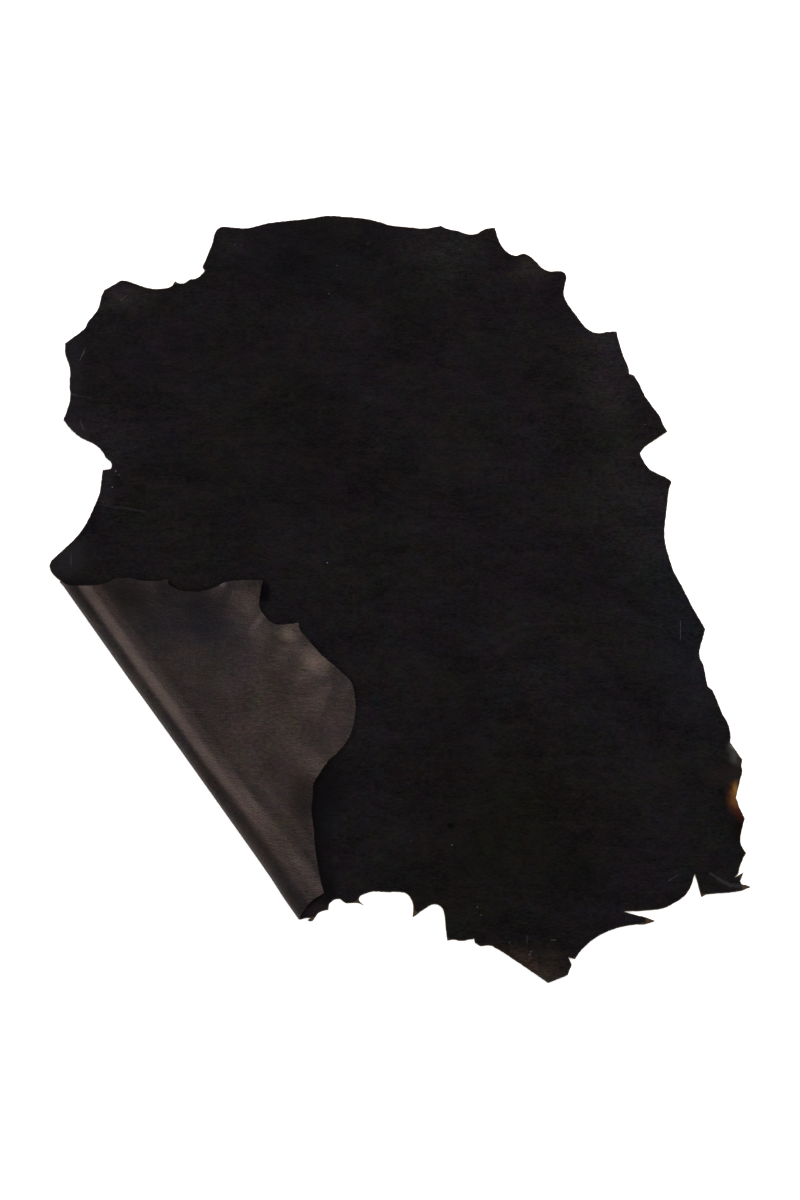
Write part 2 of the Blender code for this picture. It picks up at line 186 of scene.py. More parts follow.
# ---------------------------------------------------------------- folds that only the looks have
# Ridges and troughs of the flap, as spines of (along, reach, half width, height)
FLAP_FOLDS = (
    ("bulge at the long side", (268, 212, 24, -0.6), (260, 194, 26, 1.0), (254, 171, 27, 3.7),
     (262, 132, 25, 1.5), (272, 92, 22, 0)),
    ("trough after it", (279, 206, 15, -0.6), (284, 184, 15, -1.2), (291, 160, 15, -0.6),
     (300, 138, 13, 0)),
    ("second wave", (292, 206, 12, 1.0), (303, 180, 13, 1.2), (322, 150, 14, 0.7), (342, 128, 14, 0)),
    ("crease from the bay", (169, 166, 7, 0.25), (177, 144, 7, 0.2), (186, 129, 7, 0)),
    ("low ridge above the tip", (194, 178, 13, 0.8), (206, 168, 17, 1.6), (214, 152, 15, 0.4),
     (222, 138, 13, 0)),
    ("tip beside the bay", (206, 200, 18, -1.2), (210, 188, 15, -0.5), (213, 178, 12, 0)),
    ("upper corner, drooping", (153, 183, 18, -0.8), (157, 167, 16, -0.5), (161, 151, 14, 0)),
    ("raised tip of the corner", (134, 192, 24, 1.3), (128, 174, 20, 0.6), (122, 158, 15, 0)),
    ("dimple under the corner", (118, 150, 12, -0.7), (126, 132, 16, -0.5), (134, 108, 20, 0)),
    ("raised side at the waist", (246, 90, 26, 0.0), (280, 92, 27, 0.9), (312, 92, 29, 1.4),
     (352, 95, 34, 2.2), (376, 98, 34, 2.4), (398, 92, 30, 0)),
    ("crest, wider downwards", (0, 19.5, 19, 1.3), (200, 19.5, 19, 1.3), (270, 20, 18, 1.1),
     (330, 24, 15, 1.5), (390, 27, 20, 2.8), (474, 28, 19, 3.4)),
    ("foot of the roll", (300, 40, 14, 0), (330, 44, 14, 0.5), (390, 45, 17, 1.2), (474, 46, 18, 0.8)),
)

# Ridges and troughs of the lower layer, as spines of (x, y, half width, height) in plan
LOWER_FOLDS = (
    ("crease at the lower right point", (340, -312, 4, 0), (352, -318, 4.5, 0.9), (368, -326, 5.5, 1.4),
     (388, -329, 6, 1.6)),
    ("crease beside the wide slit", (300, -321, 6, 0), (315, -323, 6, 0.5), (328, -321, 6, 0)),
    ("waist line", (345, -163, 5, 0), (368, -168, 6, 0.7), (394, -173, 6, 0.8)),
    ("middle line", (-28, -64, 5, 0), (-4, -79, 6, -0.4), (21, -92, 5, 0)),
    ("upper line", (35, 100, 4, 0), (56, 98, 5, -0.4), (78, 96, 4, 0)),
    ("left line", (-348, 111, 4, 0.2), (-322, 109, 4, 0.3), (-299, 106, 4, 0)),
    ("corner beside the fold", (-404, 38, 22, 1.4), (-386, 52, 20, 0.8), (-366, 70, 18, 0)),
)

# Even waves in plan: their length and width, the layer of the noise that they follow, and their height
WRINKLES = (26, 6.5, 3.0, 0.09)
BILLOWS = (60, 34, 7.0, 0.35)
LOWER_WAVES = (90, 60, 11.0, 0.35)
WAVE_GAIN = 1.6             # brings the noise up to between about -1 and 1
LOWER_LIFT = 0.35           # how high the lower layer's waves are lifted on average
WAVES_FROM = 12.0           # the distance from the fold at which the flap's waves begin
WAVES_GROW = 30.0           # the distance over which they grow
LOWER_WAVES_FROM = 60.0     # the same for the waves of the lower layer
LOWER_WAVES_GROW = 60.0
UNDER_FLAP = (240, -60)     # along and across, the middle of what lies under the flap, which has no waves
UNDER_FLAP_RADIUS = 150.0
UNDER_FLAP_BORDER = 50.0

# ---------------------------------------------------------------- marks on the flesh side
# Scratches, rubbed spots and flecks, and painted highlights on the ridges of low creases: x, y, x, y, half
# width, strength
LIGHT_MARKS = (
    # the first four rows: painted highlights along the ridges of the creases at the lower right point and
    # beside the wide slit
    (348, -315, 360, -323.5, 1.8, 0.09),
    (357, -321.5, 371, -329, 3.2, 0.09),
    (369, -328.5, 386, -330, 3.6, 0.07),
    (300.6, -323.5, 312, -316.8, 0.9, 0.08),
    (324.2, -24.9, 323.5, -46.2, 0.59, 0.21),
    (-381.5, 292.5, -375.0, 308.9, 0.59, 0.21),
    (-379.4, 297.2, -376.0, 303.8, 0.68, 0.25),
    (-335.7, 369.0, -328.1, 375.0, 0.68, 0.17),
    (-388.3, 250.5, -383.5, 248.6, 0.77, 0.16),
    (-384.0, 248.8, -366.0, 245.5, 1.3, 0.03),
    (-377.6, 216.2, -373.7, 206.3, 0.68, 0.17),
    (-334.4, 155.2, -333.8, 155.2, 1.12, 0.5),
    (-330.2, 150.9, -329.6, 150.6, 0.96, 0.26),
    (-337.7, 135.8, -337.1, 135.6, 1.12, 0.56),
    (-347.9, 117.4, -347.3, 116.8, 1.12, 0.15),
    (-346.0, 113.0, -322.0, 110.0, 1.7, 0.03),
    (-322.0, 110.0, -299.0, 106.0, 1.9, 0.05),
    (-382.7, 53.8, -382.2, 41.8, 0.77, 0.13),
    (-38.9, 441.9, -38.5, 441.9, 0.8, 0.45),
    (-75.6, 413.5, -75.2, 413.5, 0.8, 0.45),
    (-85.5, 377.5, -85.1, 377.5, 0.8, 0.52),
    (-84.6, 44.2, -84.2, 44.2, 0.96, 0.68),
    (58.4, -283.2, 58.8, -283.2, 0.9, 0.6),
    (12.8, -278.7, 13.2, -278.7, 0.8, 0.2),
    (86.5, -352.3, 86.9, -352.3, 0.8, 0.52),
    (90.3, -361.2, 90.7, -361.2, 0.8, 0.45),
    (121.2, -391.7, 122.2, -391.7, 0.8, 0.3),
    (168.6, -388.8, 173.4, -388.8, 0.8, 0.33),
    (141.8, -384.0, 141.8, -392.0, 0.8, 0.1),
    (145.2, -401.9, 146.2, -401.4, 1.0, 0.4),
    (143.8, -404.7, 144.4, -404.7, 1.0, 0.45),
    (-199.7, 440.6, -199.3, 440.6, 0.96, 0.26),
    (72.3, 434.1, 72.7, 434.1, 0.96, 0.26),
    (289.7, 212.5, 290.1, 212.5, 0.96, 0.26),
    (302.7, -322.3, 303.1, -322.3, 0.96, 0.26),
)
# Pin marks, dark specks and the shaded side of the low creases, written the same way
DARK_MARKS = (
    (56.2, -261.3, 57.8, -261.9, 5.0, 1.0),
    (-46.1, 147.2, -45.7, 147.2, 3.0, 0.42),
    (-146.5, 185.3, -146.1, 185.3, 3.0, 0.42),
    (-332.1, 268.6, -331.7, 268.6, 3.0, 0.42),
    (-338, 147, -330, 148, 2.5, 0.35),
    (-338, 141, -331, 143, 2.0, 0.3),
    (35.1, 99.7, 78.4, 96.0, 1.6, 0.35),
    (-27.6, -63.8, 20.7, -91.9, 1.6, 0.3),
    (345.4, -162.6, 394.1, -173.0, 1.6, 0.3),
)

# Wide regions of another tone: x, y, half width, half height, turn in degrees, softness, tone, strength.
# A row covers the rows above it.
FLESH_REGIONS = (
    (-110, 430, 130, 50, 0, 0.8, (13, 12, 14), 0.7),
    (52, 434, 38, 30, 0, 0.9, (36, 35, 36), 0.45),
    (330, -36, 40, 110, 12, 0.9, (21, 23, 29), 0.65),
    (290, 90, 34, 60, 0, 0.9, (30, 29, 32), 0.6),
    (112, -270, 118, 95, 0, 0.9, (18, 16, 13), 0.75),
    (-82, 165, 130, 100, 0, 0.8, (17, 15, 16), 0.6),
    (-352, 195, 34, 30, 0, 0.9, (32, 30, 33), 0.5),
    (-362, 344, 18, 22, 0, 0.9, (33, 31, 34), 0.5),
    (-190, 292, 125, 26, 0, 0.9, (16, 14, 16), 0.45),
    (244, 290, 32, 52, 0, 0.9, (36, 34, 36), 0.65),
    (262, 150, 44, 80, 0, 0.9, (28, 27, 28), 0.4),
    (177, 205, 26, 20, 0, 0.9, (30, 28, 29), 0.45),
    (-35, 182, 24, 20, 0, 0.9, (28, 25, 27), 0.4),
    (69, -118, 26, 80, 0, 0.9, (15, 14, 15), 0.5),
    (161, -94, 26, 24, 0, 0.9, (30, 29, 30), 0.4),
    (115, -84, 20, 16, 0, 0.9, (31, 30, 28), 0.4),
    (107, 306, 30, 30, 0, 0.9, (15, 15, 14), 0.5),
    (24, 366, 40, 26, 0, 0.9, (14, 13, 13), 0.5),
    (204, -243, 34, 22, 0, 0.9, (28, 23, 25), 0.5),
    (-328, 374, 24, 14, 0, 0.9, (38, 35, 36), 0.6),
    (92, -282, 44, 24, 0, 0.9, (12, 11, 10), 0.4),
    (202, -322, 26, 22, 0, 0.9, (12, 11, 12), 0.5),
    (164, -421, 28, 17, -20, 0.9, (40, 35, 32), 0.75),
    (144, -416, 34, 8, -32, 0.9, (54, 45, 39), 0.6),
    (-340, 110, 14, 18, 0, 0.9, (33, 30, 33), 0.6),
    (-205, 440, 20, 16, 0, 0.9, (31, 29, 32), 0.5),
    (157, 408, 18, 16, 0, 0.9, (40, 36, 35), 0.5),
    (-298, 281, 22, 22, 0, 0.9, (15, 14, 17), 0.4),
)

# Smaller patches, written the same way: tones and stains, and some rows of painted shade, shadow and sheen
FLESH_PATCHES_AND_PAINTED_LIGHT = (
    # painted sheen: the lighter patch where the lower layer bends up at the corner beside the fold
    (-386, 48, 15, 22, -40, 0.9, (38, 37, 40), 0.6),
    (-382, 205, 15, 10, -30, 0.8, (40, 37, 43), 0.6),
    (-392, 290, 14, 60, 0, 0.8, (34, 33, 37), 0.5),
    (366, -204, 15, 11, 0, 0.8, (38, 31, 29), 0.5),
    # the next two rows are painted sheen where the curled stained edge catches the light
    (379.5, -179, 6, 11, 20, 0.8, (66, 66, 63), 0.85),
    (378, -172, 3.5, 5, 30, 0.8, (112, 110, 108), 0.5),
    (382, -200, 8, 9, 0, 0.8, (36, 31, 30), 0.6),
    (379.5, -233, 8, 16, 4, 0.6, (70, 40, 25), 0.7),
    (382, -228, 5.5, 13, 4, 0.7, (112, 74, 34), 0.85),
    (382.5, -221, 2.6, 8, 6, 0.8, (150, 112, 60), 0.6),
    (385, -248, 6, 8, 30, 0.8, (72, 30, 24), 0.85),
    (386, -268, 11, 20, 6, 0.8, (10, 8, 6), 0.85),
    (-345, 135, 8, 26, 0, 0.8, (36, 33, 38), 0.4),
    (-94, -356, 14, 9, 0, 0.8, (37, 29, 34), 0.75),
    # from here to the end: painted shade and painted shadows on the lower layer beside the flap's lower
    # end, under its curled edge at the bay, at the shallow bay and beside its long side
    (-80, -330, 8, 15, 0, 0.8, (7, 5, 8), 0.7),
    (-156, 9, 7, 13, 4, 0.45, (3, 2, 4), 1.0),
    (-266, 17, 11, 4, -12, 0.7, (8, 7, 8), 0.8),
    (-90, -222, 24, 44, -16, 0.7, (10, 9, 11), 0.8),
    (-94, -288, 14, 38, 0, 0.7, (11, 10, 12), 0.75),
)

# The same on the grain side of the flap, with some rows of painted highlight and painted shade
GRAIN_PATCHES_AND_PAINTED_LIGHT = (
    (-240, -22, 54, 38, 0, 0.9, (7, 13, 25), 0.9),
    (-306, 6, 70, 22, 0, 0.9, (6, 6, 9), 0.9),
    (-246, 2, 40, 24, 0, 0.9, (3, 7, 16), 0.9),
    # painted shade left of the foot of the bulge's ridge
    (-120, -104, 10, 30, 8, 0.8, (24, 20, 24), 0.6),
    # painted shade in the trough after the bulge
    (-104, -134, 15, 17, 0, 0.8, (13, 12, 13), 0.8),
    # painted highlight on the bulge at the long side
    (-96, -78, 18, 22, -28, 0.8, (78, 69, 64), 0.6),
    # painted highlight near the flap's upper corner
    (-176, 4, 18, 12, 0, 0.8, (40, 33, 31), 0.7),
    (-168, 19, 15, 5, 0, 0.7, (20, 20, 21), 0.8),
    # painted glint on the small curl at the flap's edge
    (-205, 18, 4, 3, 0, 0.7, (70, 66, 70), 0.8),
    (-232, -90, 60, 34, 0, 0.9, (46, 40, 40), 0.6),
    (-150, -132, 44, 66, -30, 0.9, (63, 53, 51), 0.8),
    # painted highlight along the crease from the bay
    (-163, -25, 3.2, 12, -39, 0.9, (86, 76, 74), 0.4),
    (-124, -190, 80, 60, 0, 0.9, (48, 40, 39), 0.6),
    (-126, -240, 44, 100, -20, 0.9, (46, 38, 37), 0.6),
    # painted shade along the roll, beyond its highlight
    (-265, -94, 8, 150, 36, 0.8, (18, 16, 18), 0.45),
    # painted shade left of the bulge's highlight
    (-138, -88, 17, 36, 0, 0.9, (20, 17, 19), 0.55),
    (-206, -129, 30, 16, 0, 0.9, (20, 18, 20), 0.5),
    (-218, -83, 18, 18, 0, 0.9, (17, 16, 18), 0.5),
    # this row and the next are painted shade that dims the roll's highlight
    (-147, -266, 9, 40, 36, 0.8, (20, 17, 18), 0.5),
    (-216, -188, 8, 36, 36, 0.9, (18, 16, 18), 0.55),
    # the next two rows are painted highlights: at the tip beside the bay and on the flap's lower right
    (-127, -37, 16, 10, 0, 0.9, (74, 62, 58), 0.35),
    (-102, -198, 14, 14, 0, 0.9, (62, 52, 49), 0.35),
    (-147, -244, 14, 14, 0, 0.9, (62, 52, 50), 0.3),
    # painted shade near the flap's long side, by the raised side at the waist
    (-108, -234, 14, 32, 0, 0.8, (14, 12, 14), 0.9),
    # painted shade on the dark band of the roll's lower part
    (-162, -279, 6, 110, 36, 0.8, (20, 17, 18), 0.6),
)

PAPER_WHITE = 1.60          # what a white surface sends back under these lights
LEVEL_TURN = 54.07          # degrees that turn the flat cut to the plan's level on the flesh side
PATCH_GRAIN = (0.25, 0.6)   # the span of the grainy value over which a patch gains its full strength
PATCH_LEAST = 0.72          # the share of its strength that a patch has below that span

# ---------------------------------------------------------------- sizes of the floor, lights and camera
FLOOR_HALF = 5.0
FLOOR_LEVEL = -0.0003       # just under the hide
# Round lamps: name, place, width, watts, colour
LAMPS = (
    ("key", (0.55, 1.0, 1.75), 1.4, 35, (1.0, 0.87, 0.8)),
    ("side", (-2.0, -0.85, 1.1), 1.0, 12, (1.0, 0.95, 0.9)),
)
LAMPS_AIM = (-0.2, -0.1, 0)
WALL_LIGHT = 2.0
CEILING_LIGHT = 0.25
CEILING_SPAN = (0.25, 0.9)  # how steeply one looks up where the walls end and where the ceiling begins
CAMERA_PLACE = (0.0075, -0.5316, 2.2118)
CAMERA_TILT = radians(13)
LENS = 58.77                # millimetres


def mix(a, b, t):
    return a + (b - a) * t


def ease(t):
    """Runs from 0 to 1 with a level start and end."""
    t = np.clip(t, 0.0, 1.0)
    return t - np.sin(2 * pi * t) / (2 * pi)


# ---------------------------------------------------------------- the fold
def fold_section():
    """Across, reach and height of the leather's middle at the fold's stations, and which is outermost."""
    distance = (np.arange(round((CREST_START + CREST_LENGTH) / STATION_STEP)) + 0.5) * STATION_STEP
    tucked = TUCK_TURN * ease(distance / TUCK_LENGTH)
    roll = pi - tucked - (pi + ROLL_DIP - TUCK_TURN) * ease((distance - CREST_START) / CREST_LENGTH)
    distance = (np.arange(round(SETTLE_LENGTH / STATION_STEP)) + 0.5) * STATION_STEP
    settle = ROLL_DIP * (ease(distance / SETTLE_LENGTH) - 1)
    rise = (np.sin(roll).sum() + np.sin(settle).sum()) * STATION_STEP
    descent = np.full(round((rise - THICKNESS - LAYER_GAP) / np.sin(ROLL_DIP) / STATION_STEP), -ROLL_DIP)
    slope = np.concatenate((roll, descent, settle))
    across = STATION_STEP * np.arange(1, len(slope) + 1)
    reach = np.cumsum(np.cos(slope)) * STATION_STEP
    height = np.cumsum(np.sin(slope)) * STATION_STEP
    outermost = int(np.argmin(reach))
    return across - across[outermost], reach - reach[outermost], height, outermost


ACROSS, REACH, HEIGHT, OUTERMOST = fold_section()
ALONG = (FOLD_BOTTOM - FOLD_TOP).normalized()
INWARD = Vector((-ALONG.y, ALONG.x))


def swing(along):
    """How far the fold's outermost line lies outside the straight one."""
    places, bow = zip(*FOLD_BOW)
    return SWING * ease((SWING_FROM - along) / SWING_LENGTH) + np.interp(along, places, bow)


def flap_plan(point):
    """The plan place of a point of the flap, given as (along, reach)."""
    return FOLD_TOP + ALONG * point[0] + INWARD * point[1]


def to_flat(plan, on_flap):
    """A plan point of the flap or the lower layer, in the flat cut."""
    offset = Vector(plan) - FOLD_TOP
    along = offset.dot(ALONG)
    reach = max(offset.dot(INWARD) + float(swing(along)), 0.0)
    branch = slice(OUTERMOST, None) if on_flap else slice(OUTERMOST, None, -1)
    beyond = max(reach - REACH[branch][-1], 0.0)
    across = float(np.interp(reach, REACH[branch], ACROSS[branch]))
    return Vector((along, across + (beyond if on_flap else -beyond)))


def to_plan(along, across):
    """Plan places and reaches of flat-cut points."""
    reach = np.interp(across, ACROSS, REACH)
    reach = reach + np.maximum(ACROSS[0] - across, 0) + np.maximum(across - ACROSS[-1], 0)
    step_in = reach - swing(along)
    x = FOLD_TOP.x + ALONG.x * along + INWARD.x * step_in
    y = FOLD_TOP.y + ALONG.y * along + INWARD.y * step_in
    return np.stack((x, y), 1), reach


# ---------------------------------------------------------------- relief
def swells(x, y, rows):
    """Heights of round swells: rows of x, y, half sizes and height."""
    total = np.zeros(len(x))
    for row in rows:
        half_x, half_y = row[2], row[-2]
        left = np.maximum(0, 1 - ((x - row[0]) / half_x) ** 2 - ((y - row[1]) / half_y) ** 2)
        total += row[-1] * left * left
    return total


def soft_folds(x, y, folds):
    """Heights of soft ridges and troughs along their spines."""
    total = np.zeros(len(x))
    for _, *spine in folds:
        highest = np.zeros(len(x))
        for (xa, ya, wide_a, high_a), (xb, yb, wide_b, high_b) in zip(spine, spine[1:]):
            run_x, run_y = xb - xa, yb - ya
            t = np.clip(((x - xa) * run_x + (y - ya) * run_y) / (run_x ** 2 + run_y ** 2), 0, 1)
            aside = np.hypot(x - xa - t * run_x, y - ya - t * run_y)
            left = np.maximum(0, 1 - (aside / mix(wide_a, wide_b, t)) ** 2)
            height = mix(high_a, high_b, t) * left * left
            highest = np.where(np.abs(height) > np.abs(highest), height, highest)
        total += highest
    return total


def waves(x, y, length, width, layer, height):
    """Heights of even waves of the given length and width."""
    found = [noise.noise(Vector((a / length, b / width, layer))) for a, b in zip(x, y)]
    return np.array(found) * WAVE_GAIN * height


def leather_surface(flat):
    """Where flat-cut points lie, in metres, in the middle of the leather."""
    along, across = flat[:, 0], flat[:, 1]
    plan, reach = to_plan(along, across)
    x, y = plan[:, 0], plan[:, 1]
    height = np.interp(across, ACROSS, HEIGHT)
    on_flap = across > 0
    turned = np.where(on_flap, swells(along, reach, FLAP_SWELLS), 0)
    turned += np.where(on_flap, soft_folds(along, reach, FLAP_FOLDS), 0)
    level = np.where(on_flap, 0, swells(x, y, RIM_LIFTS))
    level += np.where(on_flap, 0, soft_folds(x, y, LOWER_FOLDS))
    free = np.clip((across - WAVES_FROM) / WAVES_GROW, 0, 1)
    turned += free * (waves(x, y, *WRINKLES) + waves(x, y, *BILLOWS))
    from_flap = np.hypot(along - UNDER_FLAP[0], across - UNDER_FLAP[1]) - UNDER_FLAP_RADIUS
    clear_of_flap = np.clip(from_flap / UNDER_FLAP_BORDER, 0, 1)
    lying = np.clip((-across - LOWER_WAVES_FROM) / LOWER_WAVES_GROW, 0, 1) * clear_of_flap
    level += lying * (LOWER_LIFT + waves(x, y, *LOWER_WAVES)).clip(0)
    plan = plan - np.array(PLAN_CENTRE)
    return np.column_stack((plan, height + turned + level.clip(0) + THICKNESS / 2)) / 1000


# ---------------------------------------------------------------- the cut edge
def smooth(points, step):
    """Points on a centripetal curve through the given ones, without its last point."""
    padded = [points[0] * 2 - points[1], *points, points[-1] * 2 - points[-2]]
    curve = []
    for a, b, c, d in zip(padded, padded[1:], padded[2:], padded[3:]):
        first = (b - a).length ** 0.5
        second = first + (c - b).length ** 0.5
        third = second + (d - c).length ** 0.5
        count = max(1, ceil((c - b).length / step))
        for i in range(count):
            t = mix(first, second, i / count)
            ab = a.lerp(b, t / first)
            bc = b.lerp(c, (t - first) / (second - first))
            cd = c.lerp(d, (t - second) / (third - second))
            abc = ab.lerp(bc, t / second)
            bcd = bc.lerp(cd, (t - first) / (third - first))
            curve.append(abc.lerp(bcd, (t - first) / (second - first)))
    return curve


def knife_line(runs, placed, end):
    """The plan points of a cut edge, run by run up to its end, straying a little between the corners."""
    corners = [placed(run[1]) for run in runs] + [end]
    points = []
    for run, corner in zip(runs, corners[1:]):
        curve = smooth([placed(point) for point in run[1:]] + [corner], EDGE_STEP)
        points.append(curve[0])
        for before, point, after in zip(curve, curve[1:], curve[2:] + [corner]):
            side = (after - before).normalized().orthogonal()
            found = Vector((point.x / RAGGED_LENGTH, point.y / RAGGED_LENGTH, RAGGED_LAYER))
            points.append(point + side * (noise.noise(found) * 2 * RAGGED))
    return points


def flat_outline():
    """The whole cut edge in the flat cut, once round."""
    lower = knife_line(LOWER_EDGE, Vector, flap_plan(FLAP_EDGE[0][1]))
    flap = knife_line(FLAP_EDGE, flap_plan, Vector(LOWER_EDGE[0][1]))
    return [to_flat(p, False) for p in lower] + [to_flat(p, True) for p in flap]


def inside(points, outline):
    """Which of the points lie within the outline."""
    odd = np.zeros(len(points), bool)
    x, y = points[:, 0], points[:, 1]
    for (ax, ay), (bx, by) in zip(outline, np.roll(outline, -1, 0)):
        if ay != by:
            odd ^= ((ay > y) != (by > y)) & (x < ax + (bx - ax) * (y - ay) / (by - ay))
    return odd


def grid(low, high, spacing):
    """Points of a triangular grid over a box."""
    row_height = spacing * sqrt(3) / 2
    rows = np.arange(ceil((high[1] - low[1]) / row_height))
    columns = np.arange(ceil((high[0] - low[0]) / spacing))
    column, row = np.meshgrid(columns, rows)
    x = low[0] + (column + 0.5 * (row % 2)) * spacing
    return np.stack((x.ravel(), (low[1] + row * row_height).ravel()), 1)


def sheet_mesh(name):
    """The leather's middle as a fine sheet that faces the flesh side, with its flat cut as UV map."""
    ring = flat_outline()
    outline = np.array(ring)
    low, high = outline.min(0), outline.max(0)
    rim = KDTree(len(ring))
    for i, point in enumerate(ring):
        rim.insert(point.to_3d(), i)
    rim.balance()
    level = grid(low, (high[0], FLAP_FROM - FLAP_SPACING), LEVEL_SPACING)
    turned = grid((low[0], FLAP_FROM), high, FLAP_SPACING)
    spacings = np.repeat((LEVEL_SPACING, FLAP_SPACING), (len(level), len(turned)))
    wanted = np.concatenate((level, turned))
    within = inside(wanted, outline)
    inner = []
    for place, spacing in zip(wanted[within], spacings[within]):
        point = Vector(place)
        if rim.find(point.to_3d())[2] > min(spacing, 2 * EDGE_STEP) * CLEARANCE:
            inner.append(point)
    edges = [(i, (i + 1) % len(ring)) for i in range(len(ring))]
    flat, _, hull = delaunay_2d_cdt(ring + inner, edges, [], 0, SAME, False)[:3]
    flat = np.array([tuple(p) for p in flat])
    hull = np.array(hull)
    faces = hull[inside(flat[hull].mean(1), outline)][:, ::-1]
    mesh = bpy.data.meshes.new(name)
    mesh.from_pydata(leather_surface(flat).tolist(), [], faces.tolist())
    uv = mesh.uv_layers.new(name="cut")
    corners = np.empty(len(mesh.loops), np.int32)
    mesh.loops.foreach_get("vertex_index", corners)
    uv.uv.foreach_set("vector", ((flat - low) / 1000)[corners].astype(np.float32).ravel())
    from_rim = mesh.attributes.new("from_rim", "FLOAT", "POINT")
    from_rim.data.foreach_set("value", [rim.find((x, y, 0))[2] for x, y in flat])
    return mesh, Vector(low)


# ---------------------------------------------------------------- materials
def linear(tone):
    """The linear colour of a tone given as it is seen, from 0 to 255, by the usual display curve."""
    shares = [value / 255 for value in tone]
    return [share / 12.92 if share < 10 / 255 else ((share + 0.055) / 1.055) ** 2.4 for share in shares]


def dye(*tone):
    """The colour that shows as the given tone under these lights."""
    return (*(value / PAPER_WHITE for value in linear(tone)), 1.0)


class Recipe:
    """A material's nodes, added one by one."""

    def __init__(self, name):
        self.material = bpy.data.materials.new(name)
        self.material.use_nodes = True
        self.tree = self.material.node_tree
        self.shader = self.tree.nodes["Principled BSDF"]

    def add(self, kind, inputs=(), **settings):
        """A new node with its settings made and its inputs linked or filled, by name or number."""
        node = self.tree.nodes.new(kind)
        for name, value in settings.items():
            setattr(node, name, value)
        self.fill(node, inputs)
        return node

    def fill(self, node, inputs):
        for key, value in dict(inputs).items():
            if isinstance(value, bpy.types.NodeSocket):
                self.tree.links.new(value, node.inputs[key])
            else:
                node.inputs[key].default_value = value

    def math(self, operation, a, b=0.0, c=0.0):
        return self.add("ShaderNodeMath", {0: a, 1: b, 2: c}, operation=operation).outputs[0]

    def vector(self, operation, a, b=(0, 0, 0), output=0):
        return self.add("ShaderNodeVectorMath", {0: a, 1: b}, operation=operation).outputs[output]

    def span(self, value, low, high, to_low=0.0, to_high=1.0):
        """The value's smooth step from one span to another."""
        inputs = {0: value, 1: low, 2: high, 3: to_low, 4: to_high}
        return self.add("ShaderNodeMapRange", inputs, interpolation_type="SMOOTHSTEP").outputs[0]

    def blend(self, share, a, b):
        return self.add("ShaderNodeMix", {0: share, 6: a, 7: b}, data_type="RGBA").outputs[2]

    def cut(self):
        """The flat cut's place, in metres."""
        return self.add("ShaderNodeUVMap", uv_map="cut").outputs[0]

    def turned(self, place, degrees, stretch=1.0):
        """The place turned by some degrees, with its level direction then drawn out."""
        node = self.add("ShaderNodeMapping", {"Vector": place, "Rotation": (0, 0, radians(degrees))})
        return self.vector("MULTIPLY", node.outputs[0], (1 / stretch, 1, 1))

    def noise(self, place, size, detail=2.0, roughness=0.5, distortion=0.0):
        """Noise whose lumps are about the given size in metres."""
        inputs = {"Vector": place, "Scale": 1 / size, "Detail": detail, "Roughness": roughness,
                  "Distortion": distortion}
        return self.add("ShaderNodeTexNoise", inputs).outputs["Fac"]

    def finish(self, **values):
        """The material with the shader's own inputs linked or filled."""
        self.fill(self.shader, {name.replace("_", " "): value for name, value in values.items()})
        return self.material


def mark_group():
    """Node group: a soft stroke from a start, along a direction, laid over the strokes before it."""
    group = bpy.data.node_groups.new("stroke on leather", "ShaderNodeTree")
    for name in ("Place", "Start", "Direction"):
        group.interface.new_socket(name, in_out="INPUT", socket_type="NodeSocketVector")
    for name in ("Length", "Half width", "Strength", "Before"):
        group.interface.new_socket(name, in_out="INPUT", socket_type="NodeSocketFloat")
    group.interface.new_socket("After", in_out="OUTPUT", socket_type="NodeSocketFloat")
    nodes, links = group.nodes, group.links
    given = nodes.new("NodeGroupInput").outputs
    result = nodes.new("NodeGroupOutput").inputs

    def step(kind, operation, *sources, output=0):
        node = nodes.new(kind)
        node.operation = operation
        for socket, source in zip(node.inputs, sources):
            if isinstance(source, bpy.types.NodeSocket):
                links.new(source, socket)
            else:
                socket.default_value = source
        return node.outputs[output]

    offset = step("ShaderNodeVectorMath", "SUBTRACT", given["Place"], given["Start"])
    down = step("ShaderNodeVectorMath", "DOT_PRODUCT", offset, given["Direction"], output=1)
    held = step("ShaderNodeMath", "MINIMUM", step("ShaderNodeMath", "MAXIMUM", down, 0.0), given["Length"])
    scaled = nodes.new("ShaderNodeVectorMath")
    scaled.operation = "SCALE"
    links.new(given["Direction"], scaled.inputs[0])
    links.new(held, scaled.inputs["Scale"])
    aside = step("ShaderNodeVectorMath", "DISTANCE", offset, scaled.outputs[0], output=1)
    fade = nodes.new("ShaderNodeMapRange")
    fade.interpolation_type = "SMOOTHSTEP"
    links.new(aside, fade.inputs[0])
    fade.inputs[1].default_value = 0.0
    links.new(given["Half width"], fade.inputs[2])
    links.new(given["Strength"], fade.inputs[3])
    fade.inputs[4].default_value = 0.0
    links.new(step("ShaderNodeMath", "MAXIMUM", given["Before"], fade.outputs[0]), result["After"])
    return group


def strokes(recipe, place, group, marks, low):
    """How strongly each place is marked by the strokes."""
    after = 0.0
    for x1, y1, x2, y2, half_width, strength in marks:
        start = (to_flat((x1, y1), False) - low) / 1000
        run = (to_flat((x2, y2), False) - low) / 1000 - start
        node = recipe.add("ShaderNodeGroup", node_tree=group)
        recipe.fill(node, {"Place": place, "Start": start.to_3d(), "Direction": run.normalized().to_3d(),
                           "Length": run.length, "Half width": half_width / 1000, "Strength": strength,
                           "Before": after})
        after = node.outputs[0]
    return after


